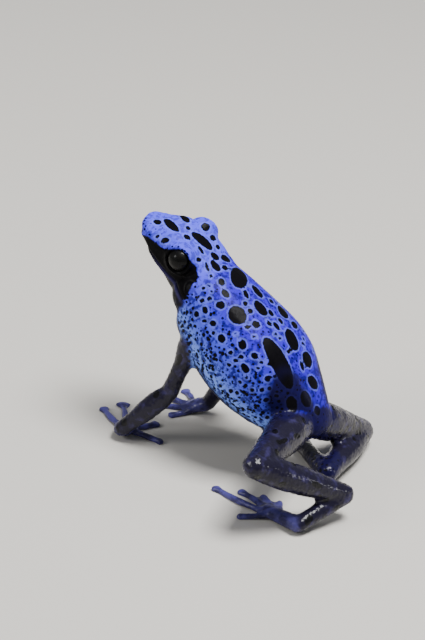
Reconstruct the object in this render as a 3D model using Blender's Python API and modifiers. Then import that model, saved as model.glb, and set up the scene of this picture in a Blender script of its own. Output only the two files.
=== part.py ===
"""Blue poison dart frog, a still life-size model of the living animal.

The frog faces -Y, its left side is +X and +Z is up. It sits raised on both arms with its
back sloping down to the rump, the left leg folded high at its side and the right leg low.
Sizes and places are in millimetres. The finished solids are scaled to metres at the end.
"""
import math

import bmesh
import bpy
import numpy as np
from mathutils import Matrix, Vector
from mathutils.bvhtree import BVHTree

METRES = 0.001
GAP = 0.3
VOXEL = 0.2
SMOOTHING = 4
TRUNK_TRIANGLES = 3200
LIMB_TRIANGLES = 5200
SMALLEST_PIECE = 0.25

HEAD_PITCH = math.radians(19.5)
HEAD_TURN = Matrix.Rotation(math.radians(9), 3, "Z")
SNOUT = Vector((0.6, -27.7, 33.2))
FORWARD = HEAD_TURN @ Vector((0, -math.cos(HEAD_PITCH), math.sin(HEAD_PITCH)))
HEAD_ROLL = Matrix.Rotation(math.radians(-8), 3, FORWARD)
HEAD_UP = HEAD_ROLL @ HEAD_TURN @ Vector((0, math.sin(HEAD_PITCH), math.cos(HEAD_PITCH)))
HEAD_SIDE = HEAD_ROLL @ HEAD_TURN @ Vector((1, 0, 0))
SIDE = Vector((1, 0, 0))

# Head stations behind the snout: place, height above the axis, depth below it, half width
HEAD_STATIONS = (
    (-0.4, 1.2, 0.5, 1.4),
    (0.2, 1.85, 1.1, 2.5),
    (1.4, 1.95, 2.0, 3.35),
    (3.4, 2.35, 3.3, 4.25),
    (6.0, 2.85, 4.8, 5.1),
    (8.5, 2.5, 6.8, 5.3),
    (11.0, 1.6, 8.5, 4.6),
    (13.5, 0.5, 8.8, 3.4),
    (15.5, -0.1, 7.6, 2.5),
)
HEAD_SQUARENESS = 2.6
NAPE = Vector((-0.5, -15.2, 30.7))
THROAT = Vector((-0.5, -19.4, 23.6))
NECK = Vector((1.6, -16.9, 25.4))
NECK_RADIUS = 4.6

# Torso stations: the back's y and z, the belly's y and z, and the half width between them
TORSO_STATIONS = (
    (-16.2, 30.4, -20.0, 22.6, 5.2),
    (-13.2, 29.4, -19.9, 19.4, 6.6),
    (-9.3, 27.2, -17.4, 16.0, 7.8),
    (-5.7, 25.1, -14.6, 12.9, 8.6),
    (-2.6, 23.1, -10.8, 10.1, 8.8),
    (0.1, 20.5, -6.4, 8.1, 8.0),
    (2.1, 17.4, -2.3, 7.0, 6.4),
    (3.9, 14.2, 1.0, 6.7, 4.8),
    (5.4, 11.3, 3.6, 7.3, 3.3),
    (5.9, 9.8, 5.2, 8.5, 1.5),
)
TORSO_SQUARENESS = 2.25

EYE_RADIUS = 1.85
EYE_BACK = 7.3
EYE_HIGH = 0.8
EYE_OUT = 4.4
LID_THICK = 0.27
LID_RADIUS = EYE_RADIUS + GAP + LID_THICK
LID_OPENING = 1.0
LID_RIM = 0.3
LID_CUT_DEPTH = 3.0
EYE_TURNED_FORWARD = math.radians(8)
EYE_TURNED_UP = math.radians(10)

MOUTH_FRONT = -1.05
MOUTH_SLOPE = -0.2
MOUTH_CORNER = 12.4
MOUTH_CUT = 15.0
MOUTH_CUT_BREADTH = 18.0
NECK_CUT_RADIUS = 8.2
LIP_RADIUS = 0.42
LIP_OFFSET = 0.5
LIP_BACKS = (10.8, 8.5, 6.0, 3.5, 1.6, 0.6, 0.1)
LIP_SUNK = 0.3
NOSTRIL_BACK = 1.5
NOSTRIL_HIGH = 0.75
NOSTRIL_RADIUS = 0.28

ARMS = {
    "left": {
        "shoulder": Vector((4.8, -15.0, 22.0)),
        "elbow": Vector((6.5, -18.0, 9.9)),
        "wrist": Vector((8.1, -24.5, 1.9)),
        "knuckles": Vector((4.9, -25.2, 0.6)),
        "tips": ((5.2, -18.6), (0.2, -22.2), (-1.9, -29.9), (1.5, -31.6)),
    },
    "right": {
        "shoulder": Vector((-4.8, -15.0, 22.0)),
        "elbow": Vector((-8.9, -13.8, 10.5)),
        "wrist": Vector((-7.8, -18.0, 1.9)),
        "knuckles": Vector((-7.6, -20.8, 0.6)),
        "tips": ((-3.0, -22.3), (-5.2, -25.2), (-8.4, -27.6), (-12.2, -24.4)),
    },
}
LEGS = {
    "left": {
        "hip": Vector((4.0, 2.0, 10.3)),
        "knee": Vector((20.6, 3.8, 11.5)),
        "fold": 8.5,
        "heel": Vector((7.1, 12.9, 4.0)),
        "ankle": Vector((15.4, 9.8, 1.45)),
        "ball": Vector((13.4, 3.6, 0.65)),
        "tips": ((9.4, 3.7), (9.5, 0.8), (10.4, -2.6), (12.0, -6.2), (17.4, 0.6)),
    },
    "right": {
        "hip": Vector((-1.6, 2.6, 9.4)),
        "knee": Vector((-15.5, 5.6, 2.2)),
        "fold": 13.0,
        "heel": Vector((0.6, 7.2, 2.6)),
        "ankle": Vector((-5.9, 0.4, 1.45)),
        "ball": Vector((-10.6, -3.6, 0.65)),
        "tips": ((-7.6, -7.0), (-9.7, -8.9), (-13.3, -10.7), (-18.3, -9.8), (-15.0, -2.3)),
    },
}
UPPER_ARM_RADII = (2.5, 2.2, 1.55, 1.3, 1.45)
FOREARM_RADII = (1.45, 1.7, 1.65, 1.35, 1.2)
THIGH_RADII = (3.0, 3.0, 2.65, 2.25, 1.9)
SHANK_RADII = (1.85, 2.2, 2.2, 1.85, 1.6)
TARSUS_RADII = (1.6, 1.45, 1.3, 1.25)
PALM_RADII = (1.2, 1.1, 0.85)
PALM_WIDE = (1.15, 1.55, 1.75)
SOLE_RADII = (1.2, 1.0, 0.85)
SOLE_WIDE = (1.15, 1.4, 1.6)
FINGER_DISCS = (0.75, 0.95, 1.3, 0.95)
TOE_DISCS = (0.6, 0.7, 0.8, 0.85, 0.65)
# Each digit's root, toward the first digit's side and back from the end, and its bow to that side
FINGER_FAN = ((1.3, 0.9, 0.3), (0.75, 0.1, 0.2), (-0.2, 0.0, 0.1), (-1.1, 0.3, -0.3))
TOE_FAN = ((1.3, 1.5, 0.2), (1.0, 0.5, 0.2), (0.3, 0.0, 0.25), (-0.75, 0.1, -0.35), (-1.35, 0.9, -0.2))
DIGIT_RADIUS = 0.5
DIGIT_STEPS = 24
DIGIT_CUT = 1.55
DIGIT_CUT_RADIUS = 0.95
DIGIT_SEED_STEP = 17
DISC_LENGTH = 1.5
SUNK = 0.27
FLOOR_CUT = 120.0

# Cuts across the bends: how far they reach outside the bend and into its fold, and their breadth
ELBOW_CUT = (2.4, 2.4, 4.8)
WRIST_CUT = (2.2, 2.2, 4.4)
KNEE_CUT_OUTSIDE = 3.5
KNEE_CUT_BREADTH = 6.0
HEEL_CUT = (2.6, 6.5, 4.6)
ANKLE_CUT = (2.2, 2.6, 4.6)

# A place inside each piece of the trunk
HEAD_SEED = (8.0, 1.0)
JAW_SEED = (7.0, -3.8)
TORSO_SEED = Vector((0, -8, 18))

COLOURS = {
    "head": (0.42, 0.47, 0.95),
    "lower_jaw": (0.30, 0.30, 0.72),
    "torso": (0.30, 0.36, 0.88),
    "upper_arm": (0.16, 0.15, 0.36),
    "forearm": (0.12, 0.11, 0.28),
    "hand": (0.24, 0.23, 0.55),
    "finger": (0.36, 0.36, 0.75),
    "thigh": (0.12, 0.11, 0.28),
    "shank": (0.10, 0.09, 0.24),
    "tarsus": (0.10, 0.09, 0.24),
    "foot": (0.14, 0.13, 0.34),
    "toe": (0.30, 0.30, 0.66),
    "eye": (0.01, 0.01, 0.012),
}


def clear_scene():
    """Start from an empty file."""
    for thing in list(bpy.data.objects):
        bpy.data.objects.remove(thing)


def new_collection(name):
    """A collection linked to the scene."""
    group = bpy.data.collections.new(name)
    bpy.context.scene.collection.children.link(group)
    return group


def new_object(name, bm, group):
    """Put a finished bmesh into an object of a collection."""
    mesh = bpy.data.meshes.new(name)
    bm.to_mesh(mesh)
    bm.free()
    thing = bpy.data.objects.new(name, mesh)
    group.objects.link(thing)
    return thing


def spline(rows, count):
    """Points of a smooth curve that passes through every row."""
    rows = np.array(rows, dtype=float)
    padded = np.vstack([2 * rows[0] - rows[1], rows, 2 * rows[-1] - rows[-2]])
    points = []
    for place in np.linspace(0, len(rows) - 1, count):
        start = min(int(place), len(rows) - 2)
        t = place - start
        a, b, c, d = padded[start:start + 4]
        cubic = (3 * b - a - 3 * c + d) * t ** 3
        square = (2 * a - 5 * b + 4 * c - d) * t ** 2
        points.append(0.5 * (2 * b + (c - a) * t + square + cubic))
    return np.array(points)


def oval(centre, side, up, half_width, top, bottom, squareness=2.0, count=36):
    """A ring of points, rounder or squarer, with its own height and depth."""
    ring = []
    for step in range(count):
        angle = 2 * math.pi * step / count
        across = math.copysign(abs(math.cos(angle)) ** (2 / squareness), math.cos(angle))
        along = math.copysign(abs(math.sin(angle)) ** (2 / squareness), math.sin(angle))
        height = top if along > 0 else bottom
        ring.append(Vector(centre) + side * across * half_width + up * along * height)
    return ring


def loft(rings):
    """A closed surface through a row of rings."""
    bm = bmesh.new()
    rows = [[bm.verts.new(point) for point in ring] for ring in rings]
    count = len(rows[0])
    for near, far in zip(rows, rows[1:]):
        for first in range(count):
            second = (first + 1) % count
            bm.faces.new((near[first], near[second], far[second], far[first]))
    bm.faces.new(rows[0])
    bm.faces.new(rows[-1])
    bmesh.ops.recalc_face_normals(bm, faces=bm.faces)
    return bm


def head_point(side, back, high):
    """A place on the head: sideways, behind the snout tip and above the head's axis."""
    return SNOUT - FORWARD * back + HEAD_UP * high + HEAD_SIDE * side


def head_solid():
    """The skull, from the blunt snout to inside the neck."""
    rings = []
    for back, top, bottom, half_width in spline(HEAD_STATIONS, 40):
        centre = head_point(0, back, 0)
        rings.append(oval(centre, HEAD_SIDE, HEAD_UP, half_width, top, bottom, HEAD_SQUARENESS))
    return loft(rings)


def head_half_width(back, high):
    """How far the skull reaches sideways at a place behind the snout."""
    stations = np.array(HEAD_STATIONS)
    top, bottom, width = (np.interp(back, stations[:, 0], stations[:, k]) for k in (1, 2, 3))
    share = min(abs(high) / (top if high > 0 else bottom), 1.0)
    return width * (1 - share ** HEAD_SQUARENESS) ** (1 / HEAD_SQUARENESS)


def torso_solid(margin=0.0):
    """The trunk, from inside the neck over the sacral hump to the vent, or one a margin larger."""
    rings = []
    for back_y, back_z, belly_y, belly_z, half_width in spline(TORSO_STATIONS, 48):
        back = Vector((0, back_y, back_z))
        belly = Vector((0, belly_y, belly_z))
        up = (back - belly).normalized()
        half_height = (back - belly).length / 2 + margin
        centre = (back + belly) / 2
        width = half_width + margin
        rings.append(oval(centre, SIDE, up, width, half_height, half_height, TORSO_SQUARENESS))
    return loft(rings)


def ball(centre, radius, columns=24, rows=16):
    """A sphere."""
    bm = bmesh.new()
    place = Matrix.Translation(centre)
    bmesh.ops.create_uvsphere(bm, u_segments=columns, v_segments=rows, radius=radius, matrix=place)
    return bm


def limb(points, radii, wide=(1.0, 1.0), steps=14, upward=Vector((0, 0, 1))):
    """A rounded length of leg or arm along a curve, its radius and breadth following the lists."""
    path = [Vector(point) for point in spline(points, steps)]
    sizes = [row[0] for row in spline([[radius] for radius in radii], steps)]
    breadths = [row[0] for row in spline([[breadth] for breadth in wide], steps)]
    rings = []
    for step, (centre, radius, breadth) in enumerate(zip(path, sizes, breadths)):
        along = (path[min(step + 1, steps - 1)] - path[max(step - 1, 0)]).normalized()
        side = along.cross(upward).normalized()
        up = side.cross(along).normalized()
        leans = {0: (-75, -50, -25, 0), steps - 1: (0, 25, 50, 75)}.get(step, (0,))
        for turn in leans:
            lean = math.radians(turn)
            end = centre + along * radius * math.sin(lean)
            size = radius * math.cos(lean)
            rings.append(oval(end, side, up, size * breadth, size, size, count=20))
    return loft(rings)


def digit_paths(start, end, tips, fan):
    """The centre line of each finger or toe of a hand or foot that ends at end."""
    ahead = (end - start).to_2d().normalized()
    inner = Vector((-ahead.y, ahead.x))
    if inner.dot(Vector(tips[0]) - Vector(tips[-1])) < 0:
        inner = -inner
    paths = []
    for tip, (sideways, back, bow) in zip(tips, fan):
        root = Vector((*(end.to_2d() + inner * sideways - ahead * back), end.z))
        end_point = Vector((*tip, DIGIT_RADIUS - SUNK))
        middle = (root + end_point) / 2 + inner.to_3d() * bow
        paths.append([Vector(point) for point in spline([root, middle, end_point], DIGIT_STEPS)])
    return paths


def digit(path, disc):
    """A slim finger or toe with soft knuckles, ending in a blunt flat disc."""
    disc_start = 1 - DISC_LENGTH / (path[-1] - path[0]).length
    disc_wide = disc / DIGIT_RADIUS
    shape = (
        (0.0, 1.25, 1.2),
        (disc_start * 0.3, 1.0, 1.0),
        (disc_start * 0.55, 1.12, 1.05),
        (disc_start * 0.85, 0.9, 0.92),
        (disc_start, 0.95, 0.9),
        (disc_start + (1 - disc_start) * 0.45, disc_wide, 0.88),
        (disc_start + (1 - disc_start) * 0.8, disc_wide, 0.8),
        (1.0, 0.45 * disc_wide, 0.5),
    )
    stations = np.array(shape)
    rings = []
    for step, centre in enumerate(path):
        place = step / (DIGIT_STEPS - 1)
        wide = np.interp(place, stations[:, 0], stations[:, 1]) * DIGIT_RADIUS
        high = np.interp(place, stations[:, 0], stations[:, 2]) * DIGIT_RADIUS
        along = (path[min(step + 1, DIGIT_STEPS - 1)] - path[max(step - 1, 0)]).normalized()
        side = along.cross(Vector((0, 0, 1))).normalized()
        up = side.cross(along)
        rings.append(oval(centre, side, up, wide, high, high, 2.2, count=16))
    return loft(rings)


def lip(offset):
    """A soft roll of lip that follows the skull from one mouth corner to the other."""
    halves = {1: [], -1: []}
    for back in LIP_BACKS:
        high = MOUTH_FRONT + MOUTH_SLOPE * back + offset
        out = head_half_width(back, high) - LIP_SUNK
        for sign, points in halves.items():
            points.append(head_point(sign * out, back, high))
    points = halves[1] + halves[-1][::-1]
    return limb(points, [LIP_RADIUS] * len(points), steps=50, upward=HEAD_UP)


def arm_points(arm):
    """The four places that an arm bends at."""
    return [arm[key] for key in ("shoulder", "elbow", "wrist", "knuckles")]


def leg_points(leg):
    """The five places that a leg bends at."""
    return [leg[key] for key in ("hip", "knee", "heel", "ankle", "ball")]


def arm_solids(arm):
    """Upper arm, forearm, palm and four fingers of one arm."""
    shoulder, elbow, wrist, knuckles = arm_points(arm)
    back = Vector((0, 1, 0))
    solids = [
        limb([shoulder, elbow], UPPER_ARM_RADII, upward=back),
        limb([elbow, wrist], FOREARM_RADII, upward=back),
        limb([wrist, wrist.lerp(knuckles, 0.5), knuckles], PALM_RADII, wide=PALM_WIDE),
    ]
    for path, disc in zip(digit_paths(wrist, knuckles, arm["tips"], FINGER_FAN), FINGER_DISCS):
        solids.append(digit(path, disc))
    return solids


def leg_solids(leg):
    """Thigh, shank, tarsus, sole and five toes of one leg."""
    hip, knee, heel, ankle, sole = leg_points(leg)
    solids = [
        limb([hip, knee], THIGH_RADII),
        limb([knee, heel], SHANK_RADII),
        limb([heel, ankle], TARSUS_RADII),
        limb([ankle, ankle.lerp(sole, 0.5), sole], SOLE_RADII, wide=SOLE_WIDE),
    ]
    for path, disc in zip(digit_paths(ankle, sole, leg["tips"], TOE_FAN), TOE_DISCS):
        solids.append(digit(path, disc))
    return solids


def eye_centre(sign):
    """The middle of one eyeball."""
    return head_point(sign * EYE_OUT, EYE_BACK, EYE_HIGH)


def eye_axis(sign):
    """The way one eye looks."""
    flat = math.cos(EYE_TURNED_UP)
    outward = HEAD_SIDE * sign * flat * math.cos(EYE_TURNED_FORWARD)
    forward = FORWARD * flat * math.sin(EYE_TURNED_FORWARD)
    return (outward + forward + HEAD_UP * math.sin(EYE_TURNED_UP)).normalized()


def joined(pieces):
    """One mesh that holds all the pieces, still overlapping."""
    whole = bmesh.new()
    for piece in pieces:
        mesh = bpy.data.meshes.new("piece")
        piece.to_mesh(mesh)
        piece.free()
        whole.from_mesh(mesh)
        bpy.data.meshes.remove(mesh)
    return whole


def evaluated_mesh(thing):
    """The object's mesh with its modifiers applied."""
    graph = bpy.context.evaluated_depsgraph_get()
    return bpy.data.meshes.new_from_object(thing.evaluated_get(graph))


def replace_mesh(thing):
    """Apply all of the object's modifiers."""
    finished = evaluated_mesh(thing)
    thing.modifiers.clear()
    old = thing.data
    thing.data = finished
    bpy.data.meshes.remove(old)


def fused(name, pieces, triangles, group):
    """An object of overlapping pieces melted into one skin with soft creases and fewer faces."""
    thing = new_object(name, joined(pieces), group)
    remesh = thing.modifiers.new("Fuse", "REMESH")
    remesh.mode = "VOXEL"
    remesh.voxel_size = VOXEL
    smooth = thing.modifiers.new("Soften", "SMOOTH")
    smooth.factor = 0.5
    smooth.iterations = SMOOTHING
    replace_mesh(thing)
    faces = sum(len(face.vertices) - 2 for face in thing.data.polygons)
    thin = thing.modifiers.new("Thin", "DECIMATE")
    thin.ratio = triangles / faces
    thin.use_collapse_triangulate = True
    replace_mesh(thing)
    return thing


def facing(centre, normal):
    """A placement whose z axis is the given direction."""
    return Matrix.Translation(centre) @ normal.to_track_quat("Z", "Y").to_matrix().to_4x4()


def slab(centre, normal, radius, thickness=GAP):
    """A thin round cut across a limb."""
    bm = bmesh.new()
    bmesh.ops.create_cone(
        bm, cap_ends=True, segments=24, radius1=radius, radius2=radius, depth=thickness,
        matrix=facing(centre, normal.normalized()))
    return bm


def box(centre, size, turn=Matrix()):
    """A box of a given size about its centre."""
    bm = bmesh.new()
    place = Matrix.Translation(centre) @ turn @ Matrix.Diagonal((*size, 1))
    bmesh.ops.create_cube(bm, size=1, matrix=place)
    return bm


def bend_cut(before, joint, after, outside, inside, breadth):
    """The cut that halves the bend at a joint and runs on into the fold between its two lengths."""
    arriving = (joint - before).normalized()
    leaving = (after - joint).normalized()
    normal = (arriving + leaving).normalized()
    inward = (leaving - arriving).normalized()
    turn = Matrix((inward, normal.cross(inward), normal)).transposed().to_4x4()
    centre = joint + inward * (inside - outside) / 2
    return box(centre, (outside + inside, breadth, GAP), turn)


def digit_cuts(start, end, tips, fan):
    """The cuts across the roots of the fingers or toes."""
    cuts = []
    for path in digit_paths(start, end, tips, fan):
        step = round(DIGIT_CUT / (path[-1] - path[0]).length * (DIGIT_STEPS - 1))
        cuts.append(slab(path[step], path[step + 1] - path[step - 1], DIGIT_CUT_RADIUS))
    return cuts


def head_cuts():
    """Neck, mouth, nostrils, eye sockets and the openings between the lids."""
    along_neck = (NAPE - THROAT).normalized()
    mouth_up = (HEAD_UP + FORWARD * MOUTH_SLOPE).normalized()
    mouth_turn = Matrix((HEAD_SIDE, mouth_up.cross(HEAD_SIDE), mouth_up)).transposed().to_4x4()
    middle_back = MOUTH_CORNER - MOUTH_CUT / 2
    mouth_middle = head_point(0, middle_back, MOUTH_FRONT + MOUTH_SLOPE * middle_back)
    cuts = [
        slab((NAPE + THROAT) / 2, HEAD_TURN @ along_neck.cross(SIDE), NECK_CUT_RADIUS),
        box(mouth_middle, (MOUTH_CUT_BREADTH, MOUTH_CUT, GAP), mouth_turn),
    ]
    for sign in (1, -1):
        centre = eye_centre(sign)
        axis = eye_axis(sign)
        cuts.append(ball(centre, EYE_RADIUS + GAP))
        window = centre + axis * (LID_OPENING + LID_CUT_DEPTH / 2)
        cuts.append(slab(window, axis, LID_RADIUS - LID_RIM, LID_CUT_DEPTH))
        nostril_out = head_half_width(NOSTRIL_BACK, NOSTRIL_HIGH)
        nostril = head_point(sign * nostril_out, NOSTRIL_BACK, NOSTRIL_HIGH)
        cuts.append(ball(nostril, NOSTRIL_RADIUS, 10, 8))
    return cuts


def arm_cuts(arm):
    """Elbow, wrist and finger roots."""
    shoulder, elbow, wrist, knuckles = arm_points(arm)
    cuts = [
        bend_cut(shoulder, elbow, wrist, *ELBOW_CUT),
        bend_cut(elbow, wrist, knuckles, *WRIST_CUT),
    ]
    return cuts + digit_cuts(wrist, knuckles, arm["tips"], FINGER_FAN)


def leg_cuts(leg):
    """Knee, heel, ankle and toe roots."""
    hip, knee, heel, ankle, sole = leg_points(leg)
    cuts = [
        bend_cut(hip, knee, heel, KNEE_CUT_OUTSIDE, leg["fold"], KNEE_CUT_BREADTH),
        bend_cut(knee, heel, ankle, *HEEL_CUT),
        bend_cut(heel, ankle, sole, *ANKLE_CUT),
    ]
    return cuts + digit_cuts(ankle, sole, leg["tips"], TOE_FAN)


def carve(thing, cutters):
    """Take every cutter away from the object."""
    group = new_collection("Cutters")
    for number, cutter in enumerate(cutters):
        tool = new_object(f"cutter_{number}", cutter, group)
        tool.hide_render = True
        tool.display_type = "WIRE"
    cut = thing.modifiers.new("Cut", "BOOLEAN")
    cut.operation = "DIFFERENCE"
    cut.operand_type = "COLLECTION"
    cut.collection = group
    cut.solver = "MANIFOLD"
    replace_mesh(thing)
    for tool in list(group.objects):
        bpy.data.objects.remove(tool)
    bpy.data.collections.remove(group)


def islands(mesh):
    """The closed surfaces of a mesh, each as its own bmesh, without scraps."""
    bm = bmesh.new()
    bm.from_mesh(mesh)
    bmesh.ops.triangulate(bm, faces=bm.faces)
    bm.verts.index_update()
    seen = set()
    found = []
    for start in bm.verts:
        if start.index in seen:
            continue
        seen.add(start.index)
        group = [start]
        for vert in group:
            for edge in vert.link_edges:
                other = edge.other_vert(vert)
                if other.index not in seen:
                    seen.add(other.index)
                    group.append(other)
        piece = bmesh.new()
        copies = {vert: piece.verts.new(vert.co) for vert in group}
        faces = {face for vert in group for face in vert.link_faces}
        for face in sorted(faces, key=lambda item: item.index):
            piece.faces.new([copies[vert] for vert in face.verts])
        piece.normal_update()
        if piece.calc_volume() > SMALLEST_PIECE:
            found.append(piece)
        else:
            piece.free()
    bm.free()
    return found


def digit_seeds(name, start, end, tips, fan):
    """One place inside each finger or toe."""
    places = {}
    for number, path in enumerate(digit_paths(start, end, tips, fan), 1):
        places[f"{name}_{number}"] = path[DIGIT_SEED_STEP]
    return places


def seeds():
    """One place inside each named part of the flesh."""
    places = {
        "head": head_point(0, *HEAD_SEED),
        "lower_jaw": head_point(0, *JAW_SEED),
        "torso": TORSO_SEED,
    }
    for side, arm in ARMS.items():
        shoulder, elbow, wrist, knuckles = arm_points(arm)
        places[f"upper_arm_{side}"] = shoulder.lerp(elbow, 0.7)
        places[f"forearm_{side}"] = elbow.lerp(wrist, 0.5)
        places[f"hand_{side}"] = wrist.lerp(knuckles, 0.5)
        places |= digit_seeds(f"finger_{side}", wrist, knuckles, arm["tips"], FINGER_FAN)
    for side, leg in LEGS.items():
        hip, knee, heel, ankle, sole = leg_points(leg)
        places[f"thigh_{side}"] = hip.lerp(knee, 0.5)
        places[f"shank_{side}"] = knee.lerp(heel, 0.5)
        places[f"tarsus_{side}"] = heel.lerp(ankle, 0.5)
        places[f"foot_{side}"] = ankle.lerp(sole, 0.5)
        places |= digit_seeds(f"toe_{side}", ankle, sole, leg["tips"], TOE_FAN)
    return places


def holds(tree, place):
    """Whether a place lies inside a closed surface, by counting the walls that a ray crosses."""
    direction = Vector((0.13, 0.29, 0.95)).normalized()
    walls = 0
    start = Vector(place)
    hit = tree.ray_cast(start, direction)[0]
    while hit is not None:
        walls += 1
        start = hit + direction * 0.001
        hit = tree.ray_cast(start, direction)[0]
    return walls % 2 == 1


def material_for(name):
    """A wet-skin material in the part's own colour."""
    kind = name
    while kind not in COLOURS:
        kind = kind.rsplit("_", 1)[0]
    material = bpy.data.materials.new(name)
    material.use_nodes = True
    shader = material.node_tree.nodes["Principled BSDF"]
    shader.inputs["Base Color"].default_value = (*COLOURS[kind], 1)
    shader.inputs["Roughness"].default_value = 0.05 if kind == "eye" else 0.3
    shader.inputs["Metallic"].default_value = 0.0
    return material


def build_flesh():
    """Head and trunk, then the limbs clear of the trunk, each parted at its joints."""
    scratch = new_collection("Whole")
    lids = [ball(eye_centre(sign), LID_RADIUS) for sign in (1, -1)]
    pieces = [head_solid(), ball(NECK, NECK_RADIUS), torso_solid()]
    pieces += [lip(LIP_OFFSET), lip(-LIP_OFFSET)] + lids
    trunk = fused("trunk", pieces, TRUNK_TRIANGLES, scratch)
    carve(trunk, head_cuts())
    pieces = []
    cutters = [torso_solid(GAP), box((0, 0, -FLOOR_CUT / 2), (FLOOR_CUT, FLOOR_CUT, FLOOR_CUT))]
    for arm in ARMS.values():
        pieces += arm_solids(arm)
        cutters += arm_cuts(arm)
    for leg in LEGS.values():
        pieces += leg_solids(leg)
        cutters += leg_cuts(leg)
    limbs = fused("limbs", pieces, LIMB_TRIANGLES, scratch)
    carve(limbs, cutters)
    parts = islands(trunk.data) + islands(limbs.data)
    for thing in (trunk, limbs):
        bpy.data.objects.remove(thing)
    bpy.data.collections.remove(scratch)
    return parts


def main():
    """Build, name, centre and scale every part."""
    clear_scene()
    frog = new_collection("Blue poison dart frog")
    parts = build_flesh()
    trees = [BVHTree.FromBMesh(part) for part in parts]
    nodes = {}
    for name, place in seeds().items():
        matches = [index for index, tree in enumerate(trees) if holds(tree, place)]
        if len(matches) != 1:
            raise RuntimeError(f"{name} lies in {len(matches)} pieces")
        nodes[name] = matches[0]
    objects = [new_object(name, parts[index], frog) for name, index in nodes.items()]
    for sign, side in ((1, "left"), (-1, "right")):
        objects.append(new_object(f"eye_{side}", ball(eye_centre(sign), EYE_RADIUS, 22, 14), frog))
    corners = np.array([vert.co for thing in objects for vert in thing.data.vertices])
    low, high = corners.min(axis=0), corners.max(axis=0)
    middle = Vector(((low[0] + high[0]) / 2, (low[1] + high[1]) / 2, 0))
    for thing in objects:
        thing.data.transform(Matrix.Scale(METRES, 4) @ Matrix.Translation(-middle))
        thing.data.materials.append(material_for(thing.name))
        thing.data.shade_smooth()
        thing.data.set_sharp_from_angle(angle=math.radians(40))


main()
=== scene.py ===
# %% [markdown]
# A blue poison dart frog, life size, as a museum would show it. The real animal is about 42 mm
# from snout to vent, so everything here is thought of in millimetres: most spots are 1 to 3 mm
# long, and a grain of the skin is about half a millimetre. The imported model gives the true
# solids. This script lays one living skin over them and adds folds, grain, colour, eyes and
# light.

# %% Load the frame and keep its size
import math
import random

import bmesh
import bpy
import numpy as np
from mathutils import Matrix, Vector, noise
from mathutils.bvhtree import BVHTree


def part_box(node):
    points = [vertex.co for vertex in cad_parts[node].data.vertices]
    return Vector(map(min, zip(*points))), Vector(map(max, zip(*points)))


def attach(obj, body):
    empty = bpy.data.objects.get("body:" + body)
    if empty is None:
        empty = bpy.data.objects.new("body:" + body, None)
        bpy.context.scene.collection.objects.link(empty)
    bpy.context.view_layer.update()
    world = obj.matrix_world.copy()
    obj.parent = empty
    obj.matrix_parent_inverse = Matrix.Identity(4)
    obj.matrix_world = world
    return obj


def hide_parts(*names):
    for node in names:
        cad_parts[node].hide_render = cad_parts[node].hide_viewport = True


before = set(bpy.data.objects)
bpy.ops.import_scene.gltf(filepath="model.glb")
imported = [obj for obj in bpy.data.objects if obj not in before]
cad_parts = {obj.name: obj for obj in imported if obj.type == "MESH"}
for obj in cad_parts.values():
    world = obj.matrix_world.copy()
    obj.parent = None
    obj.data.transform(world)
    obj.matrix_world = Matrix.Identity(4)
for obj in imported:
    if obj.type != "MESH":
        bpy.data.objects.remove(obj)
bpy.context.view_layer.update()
MM = 0.001
EYES = ("eye_left", "eye_right")
FLESH = sorted(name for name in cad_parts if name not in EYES)

# %% [markdown]
# The camera stands where the photographer stood: to the frog's left and a little behind it,
# about 38 cm away and 26 degrees above it, with a long lens and a slight roll. It is set first,
# because the markings are placed from its view. The picture frame is upright, so the lens is
# fitted to its height.

# %% Camera
CAMERA_AT = Vector((307.93, 136.49, 190.0))
CAMERA_TARGET = Vector((-0.71, -6.12, 21.38))
CAMERA_ROLL = math.radians(7.44)
CAMERA_LENS = 140.86
CAMERA_SENSOR = 36.0
CAMERA_NEAREST = 0.01
CAMERA_TURN = (CAMERA_TARGET - CAMERA_AT).to_track_quat("-Z", "Y") @ \
    Matrix.Rotation(CAMERA_ROLL, 3, "Z").to_quaternion()
camera_data = bpy.data.cameras.new("Camera")
camera_data.sensor_fit = "VERTICAL"
camera_data.sensor_height = CAMERA_SENSOR
camera_data.lens = CAMERA_LENS
camera_data.clip_start = CAMERA_NEAREST
camera = bpy.data.objects.new("Camera", camera_data)
camera.matrix_world = Matrix.LocRotScale(CAMERA_AT * MM, CAMERA_TURN, None)
bpy.context.scene.collection.objects.link(camera)
bpy.context.scene.camera = camera
print("camera", camera.location)

# %% [markdown]
# The head has its own directions, because it is raised 19.5 degrees, turned 9 degrees to the
# left and rolled a little. They are worked out from the two eyeballs and the pitch, so a place
# on the face can be given as sideways, behind the snout and above the head's axis.

# %% Head directions
HEAD_PITCH = math.radians(19.5)
HEAD_TURN = Matrix.Rotation(math.radians(9), 3, "Z")
EYE_BACK = 7.3
EYE_HIGH = 0.8


def eye_middle(name):
    """The middle of an eyeball in millimetres."""
    low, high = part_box(name)
    return (Vector(low) + Vector(high)) / 2 / MM


EYE_MIDDLES = [eye_middle(name) for name in EYES]
EYE_LEFT, EYE_RIGHT = EYE_MIDDLES
EYE_RADIUS = (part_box("eye_left")[1][2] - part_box("eye_left")[0][2]) / 2 / MM
HEAD_SIDE = (EYE_LEFT - EYE_RIGHT).normalized()
FORWARD = HEAD_TURN @ Vector((0, -math.cos(HEAD_PITCH), math.sin(HEAD_PITCH)))
FORWARD = (FORWARD - HEAD_SIDE * FORWARD.dot(HEAD_SIDE)).normalized()
HEAD_UP = HEAD_SIDE.cross(-FORWARD).normalized()
SNOUT = (EYE_LEFT + EYE_RIGHT) / 2 + FORWARD * EYE_BACK - HEAD_UP * EYE_HIGH
print("snout", SNOUT, "up", HEAD_UP, "eye radius", EYE_RADIUS)

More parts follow.
